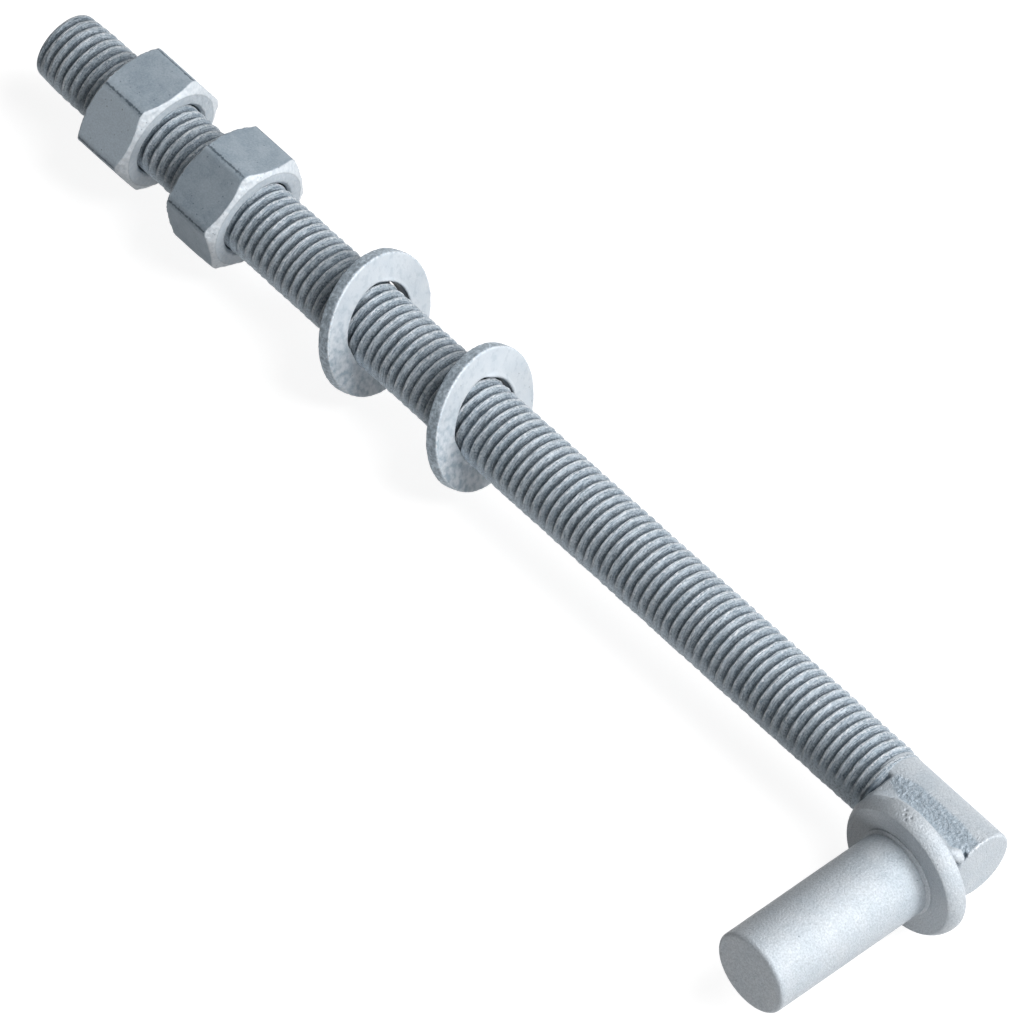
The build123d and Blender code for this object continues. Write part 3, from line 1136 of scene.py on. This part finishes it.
class HINGEPIN_OT_nuts(bpy.types.Operator):
    """Make the two hexagon nuts"""

    bl_idname = "hingepin.nuts"
    bl_label = "Nuts"
    # The angle about the rod, in degrees, of each nut's flat that is painted paler as if lit
    palest = {"outer_nut": 152, "inner_nut": 314}

    def execute(self, context):
        sizes = context.scene.hinge_pin_nut
        material = nut_zinc(context.scene.hinge_pin_zinc)
        for seed, name in enumerate(("outer_nut", "inner_nut")):
            bm = self.nut(name, sizes)
            self.weather(bm, name, sizes, seed)
            finish_piece(f"{name}_zinc", bm, material, f"{name}_body", name)
        return {"FINISHED"}

    def corner_angle(self, name):
        """The angle of a nut's corner about the rod, read from the widest point of its solid."""
        best, angle = 0.0, 0.0
        for vert in frame["nodes"][name].data.vertices:
            y, z = vert.co.y - rod_y, vert.co.z
            if math.hypot(y, z) > best:
                best, angle = math.hypot(y, z), math.atan2(z, y)
        return angle

    def nut(self, name, sizes):
        """A hexagon prism trimmed by a double cone and bored through."""
        low, high = (corner.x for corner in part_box(name))
        prism = bmesh.new()
        turn = Matrix.Translation((low, rod_y, 0))
        turn = turn @ Matrix.Rotation(self.corner_angle(name), 4, "X")
        turn = turn @ Matrix.Rotation(math.pi / 2, 4, "Y")
        bmesh.ops.create_circle(
            prism, cap_ends=True, radius=sizes.across_flats / math.sqrt(3), segments=6, matrix=turn
        )
        extrude(prism, prism.faces[:], rod_direction * (high - low))
        upright = []
        for edge in prism.edges:
            start, end = edge.verts
            if abs(start.co.x - end.co.x) > 1 * mm:
                upright.append(edge)
        round_edges(prism, upright, sizes.corner_round, 6)
        body = mesh_object("nut_prism", prism)
        cone = bmesh.new()
        middle = (low + high) / 2
        half = (high - low) / 2
        outline = [
            (middle - half, 0),
            (middle - half, sizes.face_radius),
            (middle, sizes.face_radius + half / math.tan(sizes.chamfer_angle)),
            (middle + half, sizes.face_radius),
            (middle + half, 0),
        ]
        turn_outline(cone, outline, rod_axis, sizes.facets)
        body = mesh_object("nut_trimmed", cut(body, mesh_object("nut_cone", cone), "INTERSECT"))
        bore = bmesh.new()
        bore_radius = crest_radius + sizes.bore_clearance
        past = 1 * mm
        outline = [
            (low - past, 0),
            (low - past, bore_radius + sizes.countersink + past),
            (low + sizes.countersink, bore_radius),
            (high - sizes.countersink, bore_radius),
            (high + past, bore_radius + sizes.countersink + past),
            (high + past, 0),
        ]
        turn_outline(bore, outline, rod_axis, sizes.facets)
        body = mesh_object("nut_bored", cut(body, mesh_object("nut_bore", bore), "DIFFERENCE"))
        bm = skin(body, sizes.voxel, 5)
        self.soften(bm, high, sizes)
        return bm

    def soften(self, bm, high, sizes):
        """Rounds the lower corners of the front end, where the zinc ran down and gathered."""
        near = []
        for vert in bm.verts:
            outside = out_from_rod(vert.co) > sizes.face_radius
            if vert.co.x > high - 6 * mm and outside and 175 < around_rod(vert.co) < 290:
                near.append(vert)
        relax(bm, near, sizes.soften)

    def weather(self, bm, name, sizes, seed):
        """Marks ends, corners, the bore for painted shade and the flat painted paler as if lit, and
        adds the zinc's runs, dents and beads.
        """
        names = ("end", "painted_lit_flat", "corner", "bored", "face")
        end_layer, painted_lit_flat_layer, corner_layer, bore_shade_layer, face_layer = new_layers(bm, *names)
        turn = self.corner_angle(name)
        sixth = math.pi / 3

        def zinc(vert):
            place = vert.co
            radius = out_from_rod(place)
            angle = around_rod(place)
            away = (math.radians(angle) - turn + sixth / 2) % sixth - sixth / 2
            end = ramp(abs(vert.normal.x), 0.25, 0.5)
            bored = 1 - mm_ramp(radius - crest_radius, 0.2, 0.5)
            off_palest = abs((angle - self.palest[name] + 180) % 360 - 180)
            vert[end_layer] = end * (1 - bored)
            # Marks the bore, which the finish darkens as painted shade
            vert[bore_shade_layer] = bored
            vert[face_layer] = 1 - mm_ramp(radius - sizes.face_radius, -0.3, 0.1)
            vert[painted_lit_flat_layer] = 1 - ramp(off_palest, 25, 29)
            vert[corner_layer] = min(abs(away) * radius / mm + 3 * end, 3.0)
            runs = waves(place, 1.4, 11 + seed) + 0.5 * waves(place, 0.7, 4)
            bead = (1 - ramp(abs(abs(vert.normal.x) - 0.4), 0.1, 0.3)) * (0.7 + 0.8 * runs)
            dents = waves(place, 1.1, 51 + seed)
            soft = waves(place, 5, 6 + seed)
            relief = sizes.runs * (end * runs + 0.7 * bead) + 0.02 * mm * dents + 0.03 * mm * soft
            return relief * (1 - bored)

        push(bm, zinc)


class HINGEPIN_OT_washers(bpy.types.Operator):
    """Make the two flat washers that lean on the rod"""

    bl_idname = "hingepin.washers"
    bl_label = "Washers"

    def execute(self, context):
        sizes = context.scene.hinge_pin_washer
        material = washer_zinc(context.scene.hinge_pin_zinc)
        for seed, name in enumerate(("outer_washer", "inner_washer")):
            bm = self.washer(sizes, seed)
            bmesh.ops.transform(bm, matrix=self.place(name), verts=bm.verts)
            finish_piece(f"{name}_zinc", bm, material, f"{name}_body", name)
        return {"FINISHED"}

    def place(self, name):
        """Where a washer's solid lies: its centre, and its axis from its two flat faces."""
        mesh = frame["nodes"][name].data
        widest = max(mesh.polygons, key=lambda polygon: polygon.area).normal.copy()
        if widest.x < 0:
            widest.negate()
        reach = [widest.dot(vert.co) for vert in mesh.vertices]
        low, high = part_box(name)
        middle = (low + high) / 2
        middle += widest * ((min(reach) + max(reach)) / 2 - widest.dot(middle))
        turn = rod_direction.rotation_difference(widest)
        return Matrix.Translation(middle) @ turn.to_matrix().to_4x4()

    def washer(self, sizes, seed):
        """A flat ring about X, with rounded edges, a worn rim and small waves on its faces."""
        bm = bmesh.new()
        half = sizes.thickness / 2
        outline = [
            (-half, sizes.hole_radius),
            (-half, sizes.radius),
            (half, sizes.radius),
            (half, sizes.hole_radius),
        ]
        turn_outline(bm, outline, washer_axis, sizes.facets, closed=True)
        bmesh.ops.recalc_face_normals(bm, faces=bm.faces)
        for along in (-half, half):
            for radius in (sizes.radius, sizes.hole_radius):
                round_ring(bm, washer_axis, along, radius, sizes.edge_round, 5)
        bm = skin(mesh_object("washer_ring", bm), sizes.voxel, 2)
        self.weather(bm, sizes, seed)
        return bm

    def weather(self, bm, sizes, seed):
        """Marks rim, the front edge for a painted highlight, the lower-left side and the hole for
        painted shade, and adds dents and soft waves.
        """
        names = ("rim", "edge", "lower_shade", "bored")
        rim_layer, edge_highlight_layer, lower_shade_layer, bore_shade_layer = new_layers(bm, *names)
        front = sizes.thickness / 2

        def zinc(vert):
            place = vert.co
            radius = math.hypot(place.y, place.z)
            rim = mm_ramp(radius - sizes.radius, -0.5, -0.15)
            # How far a place lies towards the lower-left side, which the finish darkens as painted
            # shade
            low = (-0.87 * place.y - 0.5 * place.z) / sizes.radius
            bored = 1 - mm_ramp(radius - sizes.hole_radius, 0.1, 0.5)
            dents = waves(place, 1.3, 21 + seed) + 0.6 * waves(place, 0.6, 9)
            soft = waves(place, 4, 14 + seed)
            vert[rim_layer] = rim
            vert[edge_highlight_layer] = min(math.hypot(sizes.radius - radius, front - place.x) / mm, 3.0)
            vert[lower_shade_layer] = ramp(low, -0.1, 0.9)
            # Marks the hole's wall, which the finish darkens as painted shade
            vert[bore_shade_layer] = bored * ramp(1 - abs(vert.normal.x), 0.3, 0.7)
            # The zinc in the hole's gap gathered at the lower and at the upper side
            bridge = sizes.bridge * bored * ramp(low * sizes.radius / radius, 0.75, 0.97)
            upper = (0.8 * place.y + 0.6 * place.z) / radius
            bridge += (0.7 + 0.5 * seed) * sizes.bridge * bored * ramp(upper, 0.7, 0.95)
            return bridge + (sizes.dents * rim * (dents - 0.5) + 0.025 * mm * soft) * (1 - bored)

        push(bm, zinc)


class HINGEPIN_OT_stage(bpy.types.Operator):
    """Make the pale floor, the soft studio light, the white surroundings and the camera"""

    bl_idname = "hingepin.stage"
    bl_label = "Stage"

    def execute(self, context):
        studio = context.scene.hinge_pin_studio
        self.floor(context, studio)
        self.surroundings(context, studio)
        middle = (cad_box[0] + cad_box[1]) / 2
        # Each lamp has its direction from the part, its distance, its width and its power
        lamps = {
            "Key": ((0.77, 0.47, 0.43), 1.1, 0.4, studio.key_power),
            "Fill": ((0.8, -0.58, 0.12), 1.1, 0.4, studio.fill_power),
            "Top": ((0.42, 0.25, 0.85), 1.3, 0.7, studio.top_power),
        }
        for name, settings_of_lamp in lamps.items():
            self.lamp(context, name, middle, *settings_of_lamp)
        self.camera(context)
        context.scene.view_settings.view_transform = "Standard"
        return {"FINISHED"}

    def floor(self, context, studio):
        """A wide pale floor at the height of the part's lowest point."""
        bm = bmesh.new()
        bmesh.ops.create_grid(bm, x_segments=1, y_segments=1, size=6.0)
        bmesh.ops.translate(bm, verts=bm.verts, vec=(0, 0, floor_z))
        floor = mesh_object("floor", bm)
        material, graph = new_material("Floor")
        matt = graph.node("ShaderNodeBsdfDiffuse")
        graph.feed(matt.inputs["Color"], (studio.floor_shade,) * 3)
        glow = graph.node("ShaderNodeEmission")
        graph.join(graph.times(self.seen(graph), studio.floor_glow), glow.inputs["Strength"])
        both = graph.node("ShaderNodeAddShader")
        graph.join(matt.outputs[0], both.inputs[0])
        graph.join(glow.outputs[0], both.inputs[1])
        output = graph.node("ShaderNodeOutputMaterial")
        graph.join(both.outputs[0], output.inputs["Surface"])
        floor.data.materials.append(material)

    def seen(self, graph):
        """1 for rays from the camera, from a reflection or through glass, and 0 for the rest."""
        rays = graph.node("ShaderNodeLightPath")
        either = graph.plus(rays.outputs["Is Camera Ray"], rays.outputs["Is Glossy Ray"])
        return graph.math("ADD", either, rays.outputs["Is Transmission Ray"], clamp=True)

    def surroundings(self, context, studio):
        """White where it is seen, and dimmer as a light on the part."""
        world = bpy.data.worlds.new("White Surroundings")
        world.use_nodes = True
        graph = Graph(world.node_tree)
        background = graph.node("ShaderNodeBackground")
        strength = graph.between(self.seen(graph), studio.ambient, 1.0)
        graph.join(strength, background.inputs["Strength"])
        background.inputs["Color"].default_value = (1.0, 1.0, 1.0, 1.0)
        output = graph.node("ShaderNodeOutputWorld")
        graph.join(background.outputs[0], output.inputs["Surface"])
        context.scene.world = world

    def lamp(self, context, name, target, direction, distance, size, power):
        """A large square lamp that faces the part."""
        data = bpy.data.lights.new(name, "AREA")
        data.shape = "SQUARE"
        data.size = size
        data.energy = power
        made = bpy.data.objects.new(name, data)
        context.scene.collection.objects.link(made)
        direction = Vector(direction).normalized()
        made.location = target + direction * distance
        made.rotation_euler = direction.to_track_quat("Z", "Y").to_euler()

    def camera(self, context):
        """The camera of the reference view, far away with a long lens."""
        place = Vector((0.96450, -1.19088, 1.96964))
        right = Vector((0.67086, 0.73779, 0.07490))
        up = Vector((-0.60519, 0.48631, 0.63028))
        back = right.cross(up)
        data = bpy.data.cameras.new("Camera")
        data.sensor_width = 36
        data.lens = 401.27
        data.clip_start = 0.1
        data.clip_end = 20
        made = bpy.data.objects.new("Camera", data)
        context.scene.collection.objects.link(made)
        turn = Matrix((right, up, back)).transposed()
        made.matrix_world = Matrix.Translation(place) @ turn.to_4x4()
        context.scene.camera = made


class HINGEPIN_PT_panel(bpy.types.Panel):
    """The pieces of the hinge pin, in the order in which they are made"""

    bl_idname = "HINGEPIN_PT_panel"
    bl_label = "Hinge Pin"
    bl_space_type = "VIEW_3D"
    bl_region_type = "UI"
    bl_category = "Hinge Pin"

    def draw(self, context):
        for operator in operators:
            self.layout.operator(operator.bl_idname)


operators = (
    HINGEPIN_OT_thread,
    HINGEPIN_OT_pin,
    HINGEPIN_OT_knuckle,
    HINGEPIN_OT_nuts,
    HINGEPIN_OT_washers,
    HINGEPIN_OT_stage,
)
settings = {
    "hinge_pin_thread": ThreadSizes,
    "hinge_pin_pin": PinSizes,
    "hinge_pin_knuckle": KnuckleSizes,
    "hinge_pin_nut": NutSizes,
    "hinge_pin_washer": WasherSizes,
    "hinge_pin_zinc": ZincFinish,
    "hinge_pin_studio": StudioSettings,
}


def register():
    for group in settings.values():
        bpy.utils.register_class(group)
    for made in (*operators, HINGEPIN_PT_panel):
        bpy.utils.register_class(made)
    for name, group in settings.items():
        setattr(bpy.types.Scene, name, PointerProperty(type=group))


def unregister():
    for name in settings:
        delattr(bpy.types.Scene, name)
    for made in (HINGEPIN_PT_panel, *reversed(operators)):
        bpy.utils.unregister_class(made)
    for group in reversed(settings.values()):
        bpy.utils.unregister_class(group)


def main():
    register()
    bpy.ops.hingepin.thread()
    bpy.ops.hingepin.pin()
    bpy.ops.hingepin.knuckle()
    bpy.ops.hingepin.nuts()
    bpy.ops.hingepin.washers()
    bpy.ops.hingepin.stage()


if __name__ == "__main__":
    main()
